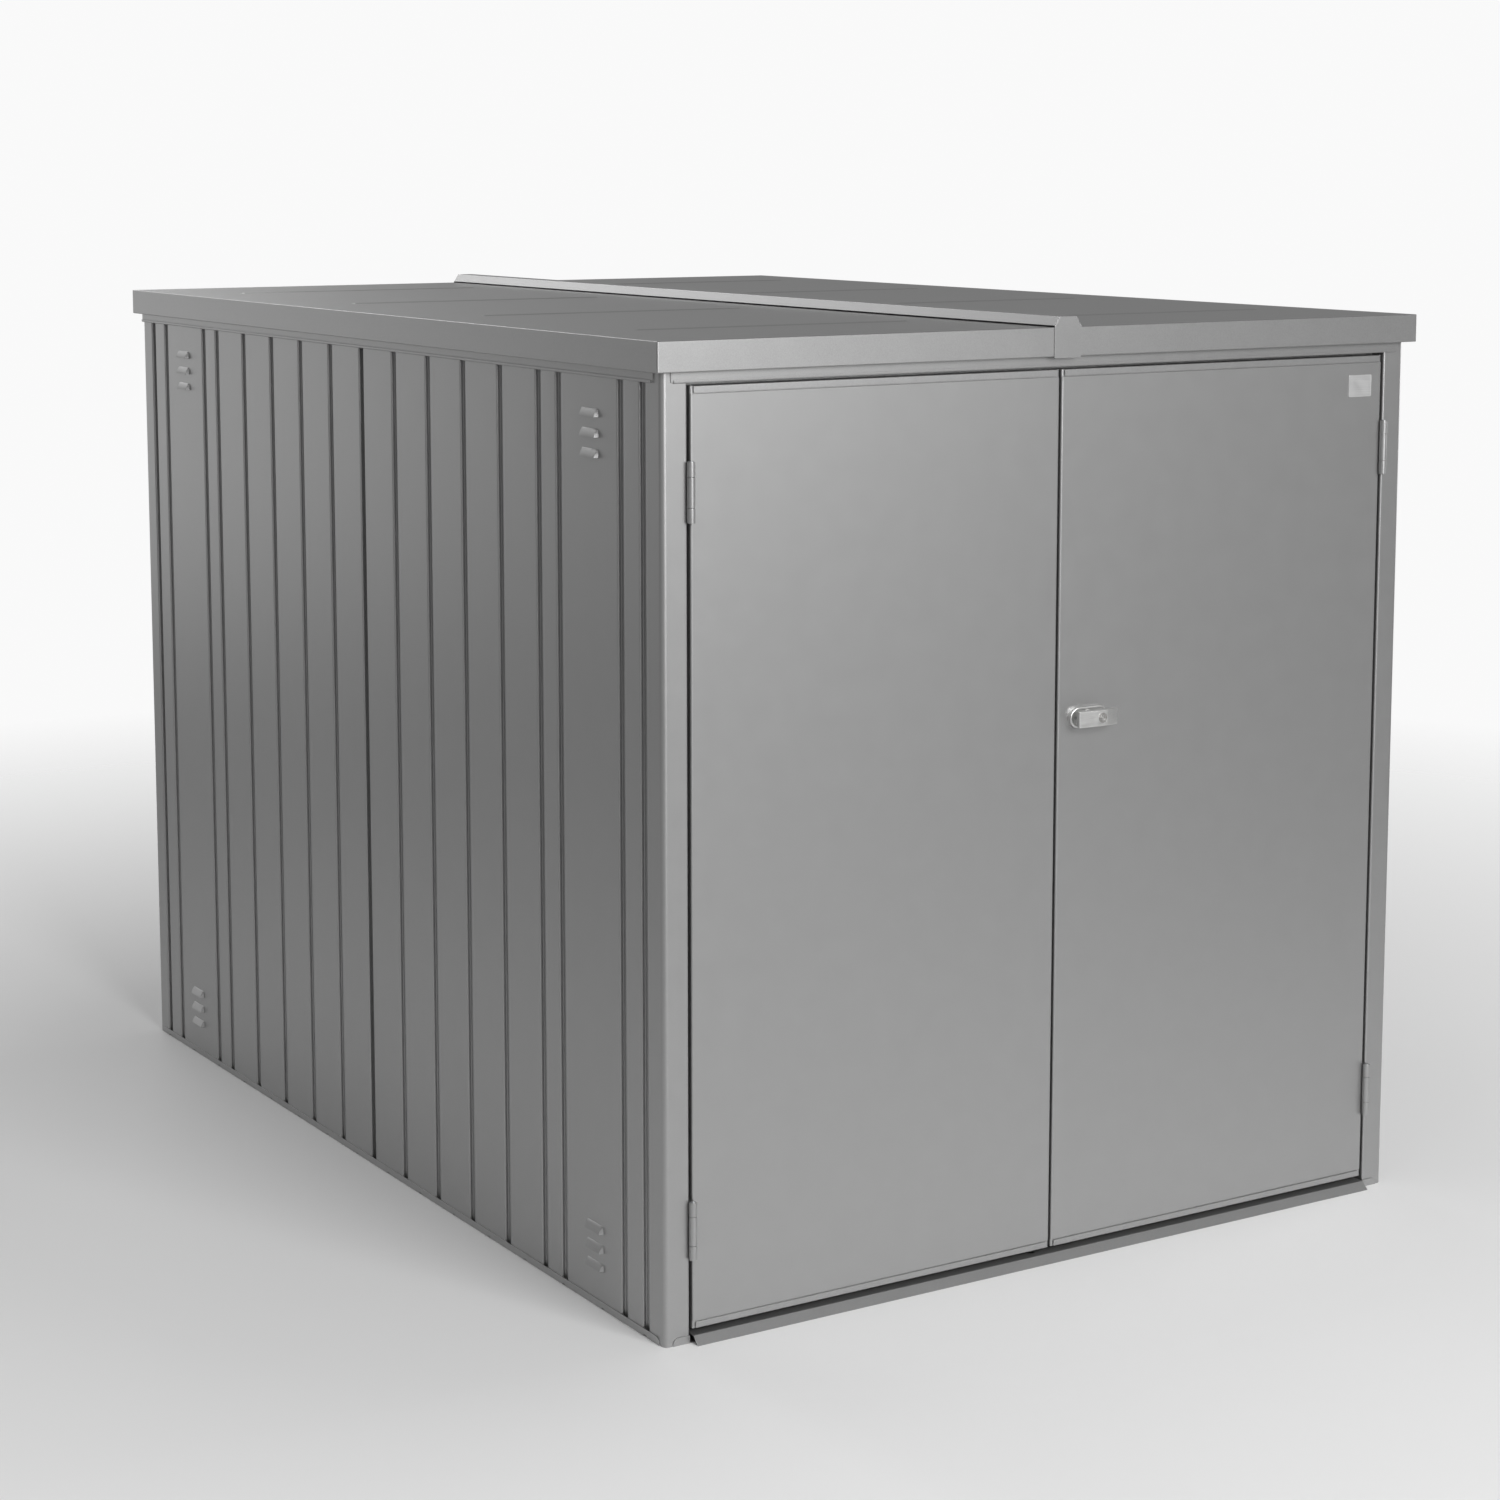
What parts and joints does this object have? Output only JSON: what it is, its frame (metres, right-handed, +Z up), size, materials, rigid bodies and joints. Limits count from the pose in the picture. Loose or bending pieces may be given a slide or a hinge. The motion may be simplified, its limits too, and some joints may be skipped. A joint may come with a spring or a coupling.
{
  "type": "bicycle locker",
  "caption": "Sheet-steel locker box for bicycles: double doors at one end, grooved walls with vent hoods, flat roof with a ridge cap, lever handle that drives rod bolts.",
  "frame": {"origin": "on the ground at the centre of the four anchor holes in the base frame", "axes": "-Y is the side with the doors, +X is right seen from the doors, +Z is up"},
  "size_m": [1.45, 2.0455, 1.499],
  "materials": {
    "silver_paint": "silver metallic powder coat",
    "zinc_steel": "zinc plated",
    "stainless": "satin",
    "lock_metal": "nickel plated, satin",
    "badge_aluminium": "satin anodised, bare",
    "guide_plastic": "black nylon"
  },
  "bodies": {
    "cabinet": {"base_rail_left": "silver_paint", "base_rail_right": "silver_paint", "base_rail_front": "silver_paint", "base_rail_back": "silver_paint", "threshold": "silver_paint", "post_front_left": "silver_paint", "post_front_right": "silver_paint", "post_back_left": "silver_paint", "post_back_right": "silver_paint", "wall_left_front": "silver_paint", "wall_left_back": "silver_paint", "wall_right_front": "silver_paint", "wall_right_back": "silver_paint", "wall_back_left": "silver_paint", "wall_back_right": "silver_paint", "joint_strip_left": "silver_paint", "joint_strip_right": "silver_paint", "joint_strip_back": "silver_paint", "top_rail_left": "silver_paint", "top_rail_right": "silver_paint", "top_rail_back": "silver_paint", "header": "silver_paint", "bolt_keeper": "zinc_steel", "ridge_beam": "silver_paint", "roof_left": "silver_paint", "roof_right": "silver_paint", "roof_stiffeners": "silver_paint", "ridge_cap": "silver_paint", "ridge_end_front": "silver_paint", "ridge_end_back": "silver_paint", "frame_studs": "zinc_steel", "hinge_frame_leaves_left": "silver_paint", "hinge_frame_leaves_right": "silver_paint", "hinge_pins_left": "zinc_steel", "hinge_pins_right": "zinc_steel"},
    "left_door": {"left_door_skin": "silver_paint", "left_door_top_cap": "silver_paint", "left_door_bottom_cap": "silver_paint", "left_door_stiffeners": "silver_paint", "hinge_door_leaves_left": "silver_paint", "left_bolt_housings": "zinc_steel"},
    "left_top_bolt": {"left_top_bolt": "zinc_steel"},
    "left_bottom_bolt": {"left_bottom_bolt": "zinc_steel"},
    "right_door": {"right_door_skin": "silver_paint", "right_door_top_cap": "silver_paint", "right_door_bottom_cap": "silver_paint", "right_door_stiffeners": "silver_paint", "hinge_door_leaves_right": "silver_paint", "handle_backplate": "stainless", "backplate_screws": "zinc_steel", "lock_case": "zinc_steel", "rod_guides": "guide_plastic", "badge_plate": "badge_aluminium"},
    "handle": {"handle_bar": "stainless", "lock_cam": "zinc_steel"},
    "lock_plug": {"lock_plug": "lock_metal"},
    "upper_rod": {"upper_rod": "zinc_steel"},
    "lower_rod": {"lower_rod": "zinc_steel"}
  },
  "joints": [
    {"name": "left_door_swing", "type": "hinge", "parent": "cabinet", "child": "left_door", "pos_m": [-0.6646, -1.006, 0.7], "axis": [0, 0, -1], "range_deg": [0, 180]},
    {"name": "right_door_swing", "type": "hinge", "parent": "cabinet", "child": "right_door", "pos_m": [0.6646, -1.006, 0.7], "axis": [0, 0, 1], "range_deg": [0, 180]},
    {"name": "handle_turn", "type": "hinge", "parent": "right_door", "child": "handle", "pos_m": [0.058, -1.01, 0.8725], "axis": [0, -1, 0], "range_deg": [0, 90]},
    {"name": "plug_turn", "type": "hinge", "parent": "handle", "child": "lock_plug", "pos_m": [0.069, -1.025, 0.8725], "axis": [0, -1, 0], "range_deg": [0, 90]},
    {"name": "upper_rod_slide", "type": "slide", "parent": "right_door", "child": "upper_rod", "axis": [0, 0, 1], "range_m": [0, 0.02034]},
    {"name": "lower_rod_slide", "type": "slide", "parent": "right_door", "child": "lower_rod", "axis": [0, 0, -1], "range_m": [0, 0.02034]},
    {"name": "left_top_bolt_slide", "type": "slide", "parent": "left_door", "child": "left_top_bolt", "axis": [0, 0, 1], "range_m": [0, 0.02]},
    {"name": "left_bottom_bolt_slide", "type": "slide", "parent": "left_door", "child": "left_bottom_bolt", "axis": [0, 0, -1], "range_m": [0, 0.02]}
  ],
  "couplings": [
    {"joint": "upper_rod_slide", "follows": "handle_turn", "m_per_rad": 0.012948},
    {"joint": "lower_rod_slide", "follows": "handle_turn", "m_per_rad": 0.012948}
  ]
}
